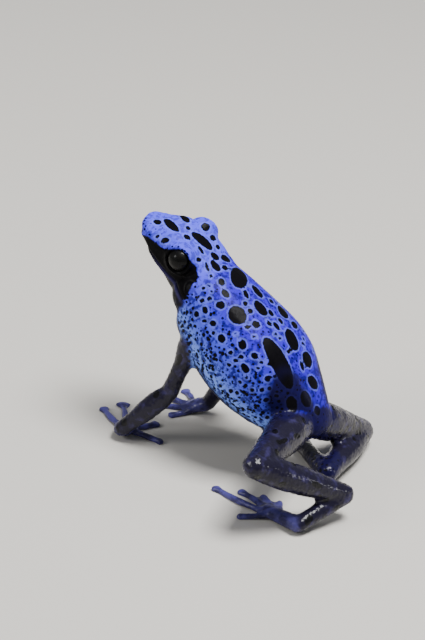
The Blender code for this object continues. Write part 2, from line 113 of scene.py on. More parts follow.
# %% [markdown]
# The skin is one surface with no seam. Copies of all the flesh solids are joined, swollen a
# little until the fine gaps between them close, melted together by a voxel remesh and shrunk
# back by the same amount. The result lies on the solids and has even faces to sculpt on. A
# subdivision surface per limb would be lighter, but it would show a seam at every joint.

# %% Copy the flesh solids
MERGE_WITHIN = 0.001


def flesh_copy():
    """The flesh solids in one bmesh, in millimetres, with doubles merged."""
    bm = bmesh.new()
    for name in FLESH:
        bm.from_mesh(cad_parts[name].data)
    bmesh.ops.remove_doubles(bm, verts=bm.verts, dist=MERGE_WITHIN * MM)
    bmesh.ops.scale(bm, vec=Vector((1, 1, 1)) / MM, verts=bm.verts)
    return bm


skin_bm = flesh_copy()
print("copied vertices", len(skin_bm.verts))

# %% Swell them until the gaps close
SWELL = 0.27


def swell(bm, amount):
    """Move every vertex out along its normal."""
    bm.normal_update()
    for vert in bm.verts:
        vert.co += vert.normal * amount


swell(skin_bm, SWELL)
print("swollen by", SWELL, "mm")

# %% Melt them together
VOXEL = 0.2


def modified(bm, kind, **settings):
    """A new bmesh: the old one after a modifier, applied."""
    mesh = bpy.data.meshes.new("work")
    bm.to_mesh(mesh)
    bm.free()
    thing = bpy.data.objects.new("work", mesh)
    bpy.context.scene.collection.objects.link(thing)
    modifier = thing.modifiers.new("Step", kind)
    for key, value in settings.items():
        setattr(modifier, key, value)
    graph = bpy.context.evaluated_depsgraph_get()
    applied = bpy.data.meshes.new_from_object(thing.evaluated_get(graph))
    bpy.data.objects.remove(thing)
    result = bmesh.new()
    result.from_mesh(applied)
    bpy.data.meshes.remove(applied)
    return result


skin_bm = modified(skin_bm, "REMESH", mode="VOXEL", voxel_size=VOXEL)
print("skin vertices", len(skin_bm.verts))

# %% Smooth the skin and shrink it back
PASSES_SWOLLEN = 2
PASSES_SHRUNK = 3


def soften(bm, verts, passes):
    """Smooth some vertices a number of times."""
    for _ in range(passes):
        bmesh.ops.smooth_vert(
            bm, verts=verts, factor=0.5, use_axis_x=True, use_axis_y=True, use_axis_z=True)


soften(skin_bm, skin_bm.verts, PASSES_SWOLLEN)
swell(skin_bm, -SWELL)
soften(skin_bm, skin_bm.verts, PASSES_SHRUNK)
print("highest point", max(vert.co.z for vert in skin_bm.verts))

# %% [markdown]
# Smoothing draws every bulge in a little, so the skin would sit too low on the snout and lids.
# Each vertex therefore asks how far the solids' surface is, these pulls are evened out over the
# neighbours, and the skin moves by them: the large forms come back and the facets don't.

# %% Find the nearest solid
def solid_tree():
    """A search tree over all flesh faces and the solid that each face is on."""
    corners = []
    faces = []
    owners = []
    for number, name in enumerate(FLESH):
        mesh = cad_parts[name].data
        start = len(corners)
        corners.extend(vert.co / MM for vert in mesh.vertices)
        faces.extend([start + index for index in face.vertices] for face in mesh.polygons)
        owners.extend([number] * len(mesh.polygons))
    return BVHTree.FromPolygons(corners, faces), owners


flesh_tree, flesh_owners = solid_tree()
print("faces to search", len(flesh_owners))

# %% Back to the size of the solids
PULL_MOST = 0.45
PULL_PASSES = 7
SHORTEST = 0.001


def spread(values, pairs, passes):
    """Even out a number, or a row of numbers, over the vertices that edges join."""
    values = np.array(values, dtype=float)
    count = np.ones(len(values))
    np.add.at(count, pairs[:, 0], 1)
    np.add.at(count, pairs[:, 1], 1)
    count = count.reshape((-1,) + (1,) * (values.ndim - 1))
    for _ in range(passes):
        total = values.copy()
        np.add.at(total, pairs[:, 0], values[pairs[:, 1]])
        np.add.at(total, pairs[:, 1], values[pairs[:, 0]])
        values = total / count
    return values


def edge_pairs(bm):
    """The two vertex numbers of every edge."""
    bm.verts.index_update()
    return np.array([[vert.index for vert in edge.verts] for edge in bm.edges])


pulls = []
for vert in skin_bm.verts:
    pull = flesh_tree.find_nearest(vert.co)[0] - vert.co
    pulls.append(pull * min(1.0, PULL_MOST / max(pull.length, SHORTEST)))
pulls = spread(pulls, edge_pairs(skin_bm), PULL_PASSES)
for vert, pull in zip(skin_bm.verts, pulls):
    vert.co += Vector(pull)
print("largest pull", float(np.linalg.norm(pulls, axis=1).max()))

# %% [markdown]
# Each place on the skin asks which solid it lies on. That tells trunk from limb and finger from
# hand, for the colours. Where two neighbours answer differently there was a gap between solids,
# and a band around it is smoothed more, so that each joint flows as living skin does.

# %% Which part of the body each vertex is on
def owner_names(bm):
    """For each vertex, the name of the solid that it lies on."""
    return [FLESH[flesh_owners[flesh_tree.find_nearest(vert.co)[2]]] for vert in bm.verts]


skin_bm.verts.ensure_lookup_table()
skin_bm.verts.index_update()
parts = owner_names(skin_bm)
print("parts found", len(set(parts)))

# %% Smooth the joints
FACE_PARTS = {"head", "lower_jaw"}
JOINT_BAND = 4
JOINT_PASSES = 10


def at_joint(vert):
    """Whether a vertex lies where two solids meet, except where the lips do."""
    near = {parts[edge.other_vert(vert).index] for edge in vert.link_edges} | {parts[vert.index]}
    return len(near) > 1 and near != FACE_PARTS


def grown(verts, rings):
    """The vertices and those within a few edges of them."""
    chosen = set(verts)
    edge = set(verts)
    for _ in range(rings):
        edge = {link.other_vert(vert) for vert in edge for link in vert.link_edges} - chosen
        chosen |= edge
    return chosen


joint_verts = [vert for vert in skin_bm.verts if at_joint(vert)]
soften(skin_bm, list(grown(joint_verts, JOINT_BAND)), JOINT_PASSES)
print("joint vertices", len(joint_verts))

# %% [markdown]
# The face carries the finest forms, so its faces are halved once before it is shaped. After
# that the mouth gets its line, the brow is raised, the nostrils and ear drums are pressed in,
# and the lids are drawn close round the eyeball. Each form is a soft bell over a few tenths of
# a millimetre, so that it blends into the skin around it.

# %% A finer face
FACE_BACK = 12.5
FACE_PASSES = 2


def head_place(point):
    """Sideways, behind the snout and above the head's axis."""
    offset = point - SNOUT
    return offset.dot(HEAD_SIDE), -offset.dot(FORWARD), offset.dot(HEAD_UP)


def on_face(vert):
    """Whether a vertex is on the front of the head."""
    return parts[vert.index] in FACE_PARTS and head_place(vert.co)[1] < FACE_BACK


face_verts = {vert for vert in skin_bm.verts if on_face(vert)}
face_edges = [edge for edge in skin_bm.edges if all(vert in face_verts for vert in edge.verts)]
bmesh.ops.subdivide_edges(skin_bm, edges=face_edges, cuts=1, use_grid_fill=True)
skin_bm.verts.ensure_lookup_table()
skin_bm.verts.index_update()
parts = owner_names(skin_bm)
face_verts = [vert for vert in skin_bm.verts if on_face(vert)]
soften(skin_bm, face_verts, FACE_PASSES)
print("face vertices", len(face_verts), "of", len(skin_bm.verts))

# %% Mouth line and lower lip
MOUTH_START = -1.0
MOUTH_CORNER = 11.6
MOUTH_FADE = 1.5
MOUTH_FRONT = -1.05
MOUTH_SLOPE = -0.2
MOUTH_DEPTH = 0.3
MOUTH_HALF = 0.13
LIP_BELOW = 0.45
LIP_HALF = 0.25
LIP_HIGH = 0.06


def bump_at(value, middle, half):
    """A soft bell that is one at the middle and fades to nothing."""
    return math.exp(-((value - middle) / half) ** 2)


def mouth_push(_, back, high):
    """A fine groove along the mouth, and a low lip under it."""
    if not MOUTH_START < back < MOUTH_CORNER:
        return 0.0
    line = MOUTH_FRONT + MOUTH_SLOPE * back
    fade = min((MOUTH_CORNER - back) / MOUTH_FADE, 1.0)
    groove = MOUTH_DEPTH * fade * bump_at(high, line, MOUTH_HALF)
    return LIP_HIGH * fade * bump_at(high, line - LIP_BELOW, LIP_HALF) - groove


print("push in the mouth line", mouth_push(0, 0, MOUTH_FRONT))

# %% Brow
BROW_LOW = 0.5
BROW_BACK = 4.5
BROW_LONG = 1.7
BROW_SIDE = 2.7
BROW_WIDE = 1.1
BROW_HIGH = 0.5


def brow_push(side, back, high):
    """The low ridge that runs from the snout to the top of the eye."""
    if high <= BROW_LOW:
        return 0.0
    return BROW_HIGH * bump_at(back, BROW_BACK, BROW_LONG) * bump_at(abs(side), BROW_SIDE, BROW_WIDE)


print("push on the brow", brow_push(BROW_SIDE, BROW_BACK, 1))

# %% Nostrils
NOSTRIL_SIDE = 1.2
NOSTRIL_BACK = 1.5
NOSTRIL_HIGH = 0.75
NOSTRIL_REACH = 0.4
NOSTRIL_DEPTH = 0.34
NOSTRIL_RIM = 0.07
NOSTRIL_RIM_HALF = 0.12


def nostril_push(side, back, high):
    """A small pit with a faint rim on each side of the snout."""
    if abs(side) <= NOSTRIL_SIDE:
        return 0.0
    distance = math.hypot(back - NOSTRIL_BACK, high - NOSTRIL_HIGH)
    rim = NOSTRIL_RIM * bump_at(distance, NOSTRIL_REACH, NOSTRIL_RIM_HALF)
    return rim - NOSTRIL_DEPTH * bump_at(distance, 0, NOSTRIL_REACH / 2)


print("push in a nostril", nostril_push(2, NOSTRIL_BACK, NOSTRIL_HIGH))

# %% Ear drums
DRUM_SIDE = 2.5
DRUM_BACK = 10.9
DRUM_HIGH = -1.2
DRUM_RADIUS = 0.85
DRUM_DEPTH = 0.07
DRUM_EDGE = 0.14
DRUM_MIDDLE = 0.5
DRUM_MIDDLE_SHARE = 0.5


def drum_push(side, back, high):
    """A ring pressed in round each ear drum, and a shallow dip in its middle."""
    if abs(side) <= DRUM_SIDE:
        return 0.0
    distance = math.hypot(back - DRUM_BACK, high - DRUM_HIGH)
    ring = bump_at(distance, DRUM_RADIUS, DRUM_EDGE)
    return -DRUM_DEPTH * (ring + DRUM_MIDDLE_SHARE * bump_at(distance, 0, DRUM_MIDDLE))


print("push on a drum's edge", drum_push(3, DRUM_BACK + DRUM_RADIUS, DRUM_HIGH))

# %% Tips of snout and jaw
SNOUT_BACK = 2.4
SNOUT_FULL = 0.55
SNOUT_FULL_AT = (0.9, 0.9)
JAW_SHORT = 0.85
JAW_SHORT_AT = (-1.6, 0.7)
SNOUT_FLAT = 0.4
SNOUT_FLAT_AT = (2.0, 0.7)


def snout_move(_, back, high):
    """How the snout's tip moves: blunt above the mouth, short below it and flat on top."""
    tip = min(max((SNOUT_BACK - back) / SNOUT_BACK, 0.0), 1.0)
    ahead = SNOUT_FULL * bump_at(high, *SNOUT_FULL_AT) - JAW_SHORT * bump_at(high, *JAW_SHORT_AT)
    return FORWARD * tip * ahead - HEAD_UP * tip * SNOUT_FLAT * bump_at(high, *SNOUT_FLAT_AT)


print("move at the snout's tip", snout_move(0, 0, 1).length)

# %% Lids
LID_TOUCH = 0.03
LID_REACH = 0.42
LID_EASE = 0.12
FOLD_REACH = 1.2
FOLD_DEPTH = 0.07
FOLD_AT = (66, 4)
FOLD_RIDGE = 0.05
FOLD_RIDGE_AT = (56, 5)


def close_lid(point, centre):
    """Draw the rim and the inside of the lid onto the eyeball."""
    offset = point - centre
    distance = offset.length
    if distance > EYE_RADIUS + LID_REACH:
        return point
    share = min((EYE_RADIUS + LID_REACH - distance) / LID_EASE, 1.0)
    return centre + offset.normalized() * (
        distance + share * (EYE_RADIUS + LID_TOUCH - distance))


def lid_fold(point, centre):
    """The shallow fold that runs round the lids, outside their rim."""
    offset = point - centre
    if offset.length > EYE_RADIUS + FOLD_REACH:
        return 0.0
    outward = HEAD_SIDE if centre is EYE_LEFT else -HEAD_SIDE
    lean = math.degrees(offset.angle(outward))
    return FOLD_RIDGE * bump_at(lean, *FOLD_RIDGE_AT) - FOLD_DEPTH * bump_at(lean, *FOLD_AT)


print("lid rim to eyeball", LID_TOUCH, "mm")

# %% Shape the face
FACE_FORMS = (mouth_push, brow_push, nostril_push, drum_push)
skin_bm.normal_update()
moves = {}
for vert in face_verts:
    place = head_place(vert.co)
    push = sum(form(*place) for form in FACE_FORMS)
    push += sum(lid_fold(vert.co, centre) for centre in EYE_MIDDLES)
    moves[vert] = vert.co + vert.normal * push + snout_move(*place)
for vert, moved in moves.items():
    for centre in EYE_MIDDLES:
        moved = close_lid(moved, centre)
    vert.co = moved
print("face vertices moved", len(moves))

# %% [markdown]
# A dart frog's back is nearly smooth, while its flanks, belly and limbs are covered in low
# round grains. They are pushed out of the mesh itself, because the flank's outline and its wet
# highlights show them. Real grains are nearer a third of a millimetre. Here they are about half
# a millimetre wide and a few hundredths high, as fine as this mesh and the picture can show.

# %% How strong the grain is
DORSAL = Vector((0, 0.62, 0.78))
GRAIN_SHARE = {"head": 0.15, "lower_jaw": 0.15, "finger": 0.35, "toe": 0.35}
LIMB_GRAIN = 1.5
TRUNK_GRAIN = 0.75
BACK_GRAIN = 0.12


def kind_of(name):
    """The kind of body part, without its side or number."""
    for word in ("upper_arm", "lower_jaw"):
        if name.startswith(word):
            return word
    return name.split("_")[0]


def grain_share(kind, normal):
    """Faint on head, fingers and back, full on flanks and belly, and most on the limbs."""
    if kind == "torso":
        return min(max(TRUNK_GRAIN - normal.dot(DORSAL), BACK_GRAIN), 1.0)
    return GRAIN_SHARE.get(kind, LIMB_GRAIN)


kinds = [kind_of(name) for name in parts]
print("kinds of part", sorted(set(kinds)))

# %% Grain and waves in the skin
GRAIN = 0.52
GRAIN_HIGH = 0.045
WAVE = 2.3
WAVE_HIGH = 0.05
LID_KEPT = 0.35
LOWEST = 0.02


def grain_at(point, size):
    """Low round grains: high in the middle of each cell and low between them."""
    near, far = noise.voronoi(point / size)[0][:2]
    return min(far - near, 0.5) * 2 - 0.5


skin_bm.normal_update()
moves = []
for vert, kind in zip(skin_bm.verts, kinds):
    share = grain_share(kind, vert.normal)
    wave = noise.noise(vert.co / WAVE) * WAVE_HIGH
    moves.append(vert.normal * (share * GRAIN_HIGH * grain_at(vert.co, GRAIN) + wave * share))
for vert, move in zip(skin_bm.verts, moves):
    if all((vert.co - centre).length >= EYE_RADIUS + LID_KEPT for centre in EYE_MIDDLES):
        vert.co += move
    vert.co.z = max(vert.co.z, LOWEST)
print("grain on", len(moves), "vertices")

# %% [markdown]
# So fine a mesh is heavier than a library part should be. A decimation keeps small triangles
# where the form is busy, as on grains, lids and fingers, and larger ones on the smooth back.

# %% A lighter mesh
TRIANGLES_MOST = 188000
triangles = sum(len(face.verts) - 2 for face in skin_bm.faces)
skin_bm = modified(skin_bm, "DECIMATE", ratio=min(1.0, TRIANGLES_MOST / triangles))
skin_bm.verts.ensure_lookup_table()
parts = owner_names(skin_bm)
kinds = [kind_of(name) for name in parts]
print("triangles before", triangles, "after", len(skin_bm.faces))

# %% [markdown]
# The markings are real patterns of this frog. Each large spot is placed by looking through the
# camera: its middle and its two half widths in the photo's frame are followed along the sight
# lines to the skin, so it lies on the body as an oval, also seen from elsewhere. Tiny specks
# are left to the material, and the far side gets spots of like sizes.

# %% Looking through the camera
PHOTO_WIDE = 425
PHOTO_HIGH = 640
FOCAL = CAMERA_LENS / CAMERA_SENSOR * PHOTO_HIGH


def sight_line(across, down):
    """The direction in which a place of the photo's frame is seen."""
    ray = Vector((across - PHOTO_WIDE / 2, PHOTO_HIGH / 2 - down, -FOCAL))
    return (CAMERA_TURN @ ray).normalized()


def in_photo(points):
    """Where points in millimetres show in the photo's frame."""
    turn = np.array(CAMERA_TURN.to_matrix())
    local = (points - np.array(CAMERA_AT)) @ turn
    across = PHOTO_WIDE / 2 - local[:, 0] / local[:, 2] * FOCAL
    down = PHOTO_HIGH / 2 + local[:, 1] / local[:, 2] * FOCAL
    return np.stack([across, down], axis=1)


skin_bm.normal_update()
skin_tree = BVHTree.FromBMesh(skin_bm)
print("eyes in the photo's frame", in_photo(np.array(EYE_MIDDLES)))

# %% [markdown]
# The next rows say where the spots lie. Each gives across, down, half length, half width and
# tilt in degrees, in the photo's frame, and was read off one by one.

# %% Spots on the head
HEAD_SPOTS = (
    (157.5, 222, 4.2, 2.6, 10), (171.5, 225.5, 9.8, 3.9, 42), (185, 218, 5.8, 2.8, 35),
    (188, 228, 2.8, 1.9, 30), (187, 237, 4.0, 2.4, 30), (202.5, 240.5, 13.4, 4.2, 41),
    (205.5, 227, 4.6, 4.2, 20), (213, 238, 3.6, 2.7, 40), (218, 247, 3.0, 2.0, 50),
    (215, 256.5, 5.2, 3.0, 42), (225.5, 259, 5.5, 2.8, 35), (215.5, 266, 7.0, 3.4, 48),
    (225, 267.5, 3.2, 2.4, 45), (207, 267, 5.0, 1.6, 72), (198.5, 259.5, 2.8, 2.6, 0),
    (201, 250, 5.0, 1.5, 55), (165, 240.5, 4.5, 3.0, -20), (157.5, 236.5, 2.4, 1.6, -30),
)
print("spots on the head", len(HEAD_SPOTS))

# %% Spots on the back
BACK_SPOTS = (
    (239.3, 277, 11.2, 7.6, 62), (237.5, 315, 10.2, 8.6, 45), (257.5, 291.5, 8.2, 2.6, 50),
    (246, 294, 5.0, 2.2, 65), (245.5, 303.5, 2.8, 2.4, 30), (250.5, 311, 2.8, 2.8, 0),
    (260.5, 308, 9.5, 4.3, 50), (271, 313, 4.2, 2.0, 52),
    (271.5, 301.5, 3.2, 1.6, 50), (283, 312, 8.0, 3.2, 52), (280.5, 321, 3.6, 1.8, 55),
    (276.5, 326, 5.2, 2.2, 52), (269, 323.5, 4.0, 2.0, 55), (256, 324.5, 4.6, 3.8, 30),
    (247, 327, 2.6, 2.4, 0), (294.5, 325, 4.4, 2.6, 55), (292, 339.5, 12.0, 5.2, 65),
    (307.5, 359.5, 8.6, 4.4, 72), (313, 382.5, 7.8, 4.4, 62), (302, 366, 5.5, 1.7, 75),
    (275, 334, 1.9, 1.9, 0), (280, 338, 1.8, 1.8, 0), (303, 344, 2.6, 1.6, 60),
    (289.5, 351, 3.6, 2.0, -30), (317.5, 410.5, 5.0, 3.0, 80), (292, 404, 8.0, 5.5, 75),
    (279.5, 362.5, 29.0, 8.5, 62), (306, 399, 8.5, 5.0, 75),
)
print("spots on the back", len(BACK_SPOTS))

# %% Spots on the flank
FLANK_SPOTS = (
    (221.5, 282, 4.2, 3.4, 60), (225.5, 293.5, 5.2, 3.4, 50), (220.5, 305, 4.6, 4.2, 0),
    (209.5, 298.5, 2.6, 2.6, 0), (202, 300.5, 2.8, 2.6, 0), (205, 310, 4.2, 2.8, 70),
    (196.5, 314, 3.4, 2.6, 80), (204.5, 321, 2.8, 1.8, 0), (213, 323.5, 3.4, 3.2, 0),
    (203.5, 288, 2.2, 2.0, 0), (211, 276, 2.4, 1.7, 100), (209, 286, 1.9, 1.8, 0),
    (211.5, 291, 1.8, 1.8, 0), (221.5, 338.5, 4.6, 4.0, 60), (242.3, 344.5, 5.6, 4.2, 75),
    (254.5, 355.8, 4.2, 3.2, 35), (241.5, 357, 2.8, 2.4, 20), (230.5, 352.5, 2.4, 2.2, 0),
    (245, 368.3, 5.8, 3.6, 55), (235.5, 360.5, 2.6, 2.0, 0), (229, 365, 2.6, 1.8, 45),
    (254.5, 336.5, 2.6, 2.0, 0), (235.5, 334, 2.4, 1.8, 0), (213.5, 333, 1.9, 1.9, 0),
    (261.5, 362.5, 2.2, 1.8, 0), (268.5, 364, 2.2, 1.8, 0), (258, 368, 2.0, 1.9, 0),
    (268, 378.5, 3.8, 3.2, -45), (262, 390, 2.6, 2.4, 0), (275, 376, 2.2, 2.2, 0),
    (269.5, 388.5, 2.2, 2.0, 0), (276.5, 396, 2.4, 1.9, 0), (266, 400, 3.0, 2.2, -20),
    (246.5, 377.5, 1.9, 1.9, 0), (231, 391, 2.4, 2.4, 0), (237, 393, 2.3, 2.0, 45),
    (252, 390, 2.4, 1.9, 0), (240, 382, 2.6, 1.8, 30), (267, 417.5, 2.6, 1.9, 0),
    (276.5, 418, 2.2, 1.9, 0),
)
print("spots on the flank", len(FLANK_SPOTS))

# %% Spots on arm and leg
LIMB_SPOTS = (
    (178, 360, 6.5, 3.6, -62), (275, 431, 3.0, 2.2, 0), (283, 441, 5.5, 2.4, -20),
    (297, 436, 4.0, 2.6, 0), (317, 485, 5.0, 3.0, 30),
)
print("spots on the limbs", len(LIMB_SPOTS))

# %% [markdown]
# A sight line that only grazes the body would draw its spot far too long. So each spot lies on
# a flat plane that touches the skin at its middle, and the plane is turned a little towards
# the camera where the skin turns away too much.

# %% Where a sight line meets the skin
LEAST_FACING = 0.4
AROUND = ((0, 0), (1, 0), (-1, 0), (0, 1), (0, -1))
NEAR_TOUCH = 1.5


def touch_plane(across, down, reach):
    """Where a sight line meets the skin, and the skin's direction evened out around there."""
    middle = skin_tree.ray_cast(CAMERA_AT, sight_line(across, down))[0]
    if middle is None:
        return None, None
    upright = Vector()
    for step_x, step_y in AROUND:
        place, facing = skin_tree.ray_cast(
            CAMERA_AT, sight_line(across + step_x * reach, down + step_y * reach))[:2]
        if place is not None and (place - middle).length < NEAR_TOUCH:
            upright += facing
    upright.normalize()
    view = sight_line(across, down)
    if -upright.dot(view) < LEAST_FACING:
        upright = (upright - view * (LEAST_FACING + upright.dot(view))).normalized()
    return middle, upright


print("skin under the first spot of the back", touch_plane(*BACK_SPOTS[0][:3])[0])

# %% Spots as the camera sees them
TOUCH_SHARE = 0.6


class Spot:
    """An oval on the skin: its middle and its long and short half widths as directions."""

    def __init__(self, middle, long, short):
        self.middle = middle
        self.long = long
        self.short = short

    def mirrored(self, shift, size, turn):
        """A like spot on the other side of the body."""
        flip = Vector((-1, 1, 1))
        long = self.long * flip * size
        short = self.short * flip * size
        spin = Matrix.Rotation(turn, 3, long.cross(short).normalized())
        return Spot(self.middle * flip + shift, spin @ long, spin @ short)


def spot_seen_at(across, down, half_long, half_short, tilt):
    """The spot that shows at a place of the photo's frame, or None where no skin is."""
    middle, upright = touch_plane(across, down, half_short * TOUCH_SHARE)
    if middle is None:
        return None
    arms = []
    for length, angle in ((half_long, tilt), (half_short, tilt + 90)):
        ray = sight_line(across + math.cos(math.radians(angle)) * length,
                         down + math.sin(math.radians(angle)) * length)
        reach = (middle - CAMERA_AT).dot(upright) / ray.dot(upright)
        arms.append(CAMERA_AT + ray * reach - middle)
    return Spot(middle, *arms)


seen_spots = []
for row in HEAD_SPOTS + BACK_SPOTS + FLANK_SPOTS + LIMB_SPOTS:
    spot = spot_seen_at(*row)
    if spot is None:
        print("no skin for spot", row)
    else:
        seen_spots.append(spot)
print("spots placed", len(seen_spots))

# %% Spots on the far side
CHANCE = random.Random(7)
MIDLINE = 1.0
FAR_SHIFT = 0.6
FAR_SIZE = (0.8, 1.15)
FAR_TURN = 0.5
FAR_SPOT_GAP = 0.35


def clear_of(spot, others):
    """Whether a spot keeps a gap from all the others."""
    for other in others:
        distance = (spot.middle - other.middle).length
        own = (spot.long.length + spot.short.length) / 2
        theirs = (other.long.length + other.short.length) / 2
        if distance < own + theirs + FAR_SPOT_GAP:
            return False
    return True


far_spots = []
for spot in seen_spots:
    if spot.middle.x < MIDLINE:
        continue
    shift = Vector(CHANCE.uniform(-FAR_SHIFT, FAR_SHIFT) for _ in range(3))
    twin = spot.mirrored(shift, CHANCE.uniform(*FAR_SIZE), CHANCE.uniform(-FAR_TURN, FAR_TURN))
    twin.middle = skin_tree.find_nearest(twin.middle)[0]
    if clear_of(twin, seen_spots + far_spots):
        far_spots.append(twin)
spots = seen_spots + far_spots
print("far spots", len(far_spots))

# %% [markdown]
# The colours follow the body. For every vertex a few plain numbers are kept as attributes of
# the mesh: how far the nearest spot's edge is, how far the edge of the black mask is, how much
# it belongs to the head, a limb or a digit, and how far round the flank it lies. The material
# turns these numbers into colour, so its edges stay sharp between vertices. A pixel of the
# photo is about 0.15 mm on the frog.

# %% Distance to the nearest spot
SPOT_FARTHEST = 2.0
SPOT_MARGIN = 1.0
SPOT_LEAST = 0.05
points = np.array([vert.co for vert in skin_bm.verts])


def spot_distance():
    """Millimetres from each vertex to the nearest spot's edge, negative inside."""
    nearest = np.full(len(points), SPOT_FARTHEST)
    for spot in spots:
        offset = points - np.array(spot.middle)
        reach = spot.long.length + spot.short.length + SPOT_MARGIN
        close = np.linalg.norm(offset, axis=1) < reach
        duals = np.linalg.pinv(np.array([spot.long, spot.short])).T
        along = offset[close] @ duals.T
        share = np.linalg.norm(along, axis=1)
        slope = np.linalg.norm(along @ duals, axis=1) / np.maximum(share, SPOT_LEAST)
        distance = (share - 1) / np.maximum(slope, SPOT_LEAST)
        nearest[close] = np.minimum(nearest[close], distance)
    return nearest


to_spot = spot_distance()
print("vertices in spots", int((to_spot < 0).sum()))

# %% Distance to the edge of the black mask
PIXEL = 1 / 6.59
MASK_OUTLINE = [
    (138, 232), (144, 235), (149, 237), (158, 244), (163.5, 248.6), (175.7, 249.3),
    (185.7, 252.9), (190, 260), (196.4, 267), (198.6, 278), (192.9, 285), (190, 289),
    (186, 300), (170, 300), (118, 270), (124, 240),
]


def edge_distance(places, outline):
    """Distance from places to a closed outline in the photo's frame, negative inside."""
    nearest = np.full(len(places), np.inf)
    inside = np.zeros(len(places), dtype=bool)
    for start, end in zip(outline, outline[1:] + outline[:1]):
        start = np.array(start, dtype=float)
        side = np.array(end, dtype=float) - start
        offset = places - start
        share = np.clip(offset @ side / (side @ side), 0, 1)
        gap = np.linalg.norm(offset - share[:, None] * side, axis=1)
        nearest = np.minimum(nearest, gap)
        if side[1]:
            above = (start[1] > places[:, 1]) != (start[1] + side[1] > places[:, 1])
            crossing = start[0] + (places[:, 1] - start[1]) / side[1] * side[0]
            inside ^= above & (places[:, 0] < crossing)
    return np.where(inside, -nearest, nearest)


side_unit = np.array(HEAD_SIDE)
reflect = (points - np.array(SNOUT)) @ side_unit
near_side = points - np.where(reflect < 0, 2 * reflect, 0)[:, None] * side_unit
mask = edge_distance(in_photo(near_side), MASK_OUTLINE) * PIXEL
print("mask reaches", float(-mask.min()), "mm inside its edge")

# %% Mask on both sides of the head
MASK_FARTHEST = 3.0
STRIP_HALF = 1.2
STRIP_ABOVE = 0.9
head_rows = np.array([kind in FACE_PARTS for kind in kinds])
across_head = np.abs(reflect)
_, backs, heights = np.array([head_place(Vector(point)) for point in points]).T
mouth_line = MOUTH_FRONT + MOUTH_SLOPE * backs
snout_strip = (across_head < STRIP_HALF) & (heights > mouth_line + STRIP_ABOVE)
mask = np.where(head_rows, mask, MASK_FARTHEST)
mask = np.where(snout_strip, np.maximum(mask, STRIP_HALF - across_head), mask)
print("mask vertices", int((mask < 0).sum()))

# %% Back, head, limbs and digits
DORSAL_PASSES = 14
CROWN_PASSES = 30
LIMB_PASSES = 10
DIGIT_PASSES = 12
LIMB_KINDS = ("upper_arm", "forearm", "hand", "finger", "thigh", "shank", "tarsus", "foot", "toe")
DIGIT_SHARE = {"finger": 1.0, "toe": 0.9, "hand": 0.6, "foot": 0.45}
links = edge_pairs(skin_bm)
normals = np.array([vert.normal for vert in skin_bm.verts])
dorsal = spread(normals @ np.array(DORSAL), links, DORSAL_PASSES)
crown = spread(head_rows, links, CROWN_PASSES)
limb = spread([kind in LIMB_KINDS for kind in kinds], links, LIMB_PASSES)
digit = spread([DIGIT_SHARE.get(kind, 0.0) for kind in kinds], links, DIGIT_PASSES)
print("vertices facing up", int((dorsal > 0.8).sum()), "on limbs", int((limb > 0.5).sum()))

# %% [markdown]
# Above each thigh the blue turns into dark violet. Round the vent, under the rump and between
# the thighs, the same dark is painted shade. Both patches are soft balls of influence. Painted
# shade darkens the throat from the mouth line down, and a paler violet line runs along the
# lower lip.

# %% Rump, and painted shade round the vent
RUMP_SEEN = (298, 396, 4)
RUMP_REACH = 6.6
RUMP_CORE = 0.45
RUMP_TOP = (0.8, 0.95)
# Painted shade round the vent, where the rump hangs over the thighs.
VENT_SHADE_AT = (0, 13.5, 7.0)
VENT_SHADE_REACH = 7.0
VENT_SHADE_CORE = 0.75


def ramp(values, low, high):
    """Zero at low, one at high and soft between."""
    share = np.clip((values - low) / (high - low), 0, 1)
    return share * share * (3 - 2 * share)


def near_place(place, core, reach):
    """One near a place and zero beyond its reach, alike on both sides of the body."""
    folded = np.abs(points * (1, 0, 0)) + points * (0, 1, 1)
    return 1 - ramp(np.linalg.norm(folded - np.array(place), axis=1), reach * core, reach)


# One share: dark violet above each thigh, and painted shade round the vent.
rump = near_place(touch_plane(*RUMP_SEEN)[0], RUMP_CORE, RUMP_REACH)
rump *= 1 - ramp(dorsal, *RUMP_TOP)
rump = np.maximum(rump, near_place(VENT_SHADE_AT, VENT_SHADE_CORE, VENT_SHADE_REACH))
print("dark vertices at the rump", int((rump > 0.5).sum()))

# %% Painted shade under the throat, and the lip
THROAT_EDGE = (-0.05, 0.12)
THROAT_PASSES = 2
LIP_LINE = 0.42
LIP_WIDE = 0.3
LIP_END = (0.0, 1.5)
LIP_START = (2.0, 6.0)
# Below the mouth line the head is painted near black as shade under the jaw.
throat = ramp(mouth_line - heights, *THROAT_EDGE) * head_rows
lip = np.exp(-((heights - mouth_line + LIP_LINE) / LIP_WIDE) ** 2) * head_rows
lip *= ramp(MOUTH_CORNER - backs, *LIP_END) * ramp(backs, *LIP_START)
print("throat vertices", int((throat > 0.5).sum()), "lip vertices", int((lip > 0.5).sum()))

# %% All the numbers together
attributes = {
    "spot": to_spot,
    "crown": crown,
    "mask": mask,
    "limb": limb,
    "digit": digit,
    "dorsal": dorsal,
    "rump": rump,
    "throat": spread(throat, links, THROAT_PASSES),
    "lip": lip,
}
for name, values in attributes.items():
    print(name, float(np.min(values)), float(np.max(values)))

# %% [markdown]
# Frog skin is thin and wet: a clear film of mucus over pigment. The pigment layer gives the
# blue, which in life comes from the skin's structure and so looks even and saturated. Its
# material mixes one colour over another, each by a soft share made from the mesh's numbers.
# All colours are given as sRGB hex codes, and one small function adds every node.

# %% Helpers for materials
SOFT = {"interpolation_type": "SMOOTHSTEP"}
COLOURS = {"data_type": "RGBA"}
PLUS = {"operation": "ADD"}
MINUS = {"operation": "SUBTRACT"}
TIMES = {"operation": "MULTIPLY"}
LARGER = {"operation": "MAXIMUM"}


def linear(code):
    """A colour from its sRGB hex code."""
    values = []
    for start in (1, 3, 5):
        part = int(code[start:start + 2], 16) / 255
        values.append(part / 12.92 if part <= 0.04045 else ((part + 0.055) / 1.055) ** 2.4)
    return (*values, 1.0)


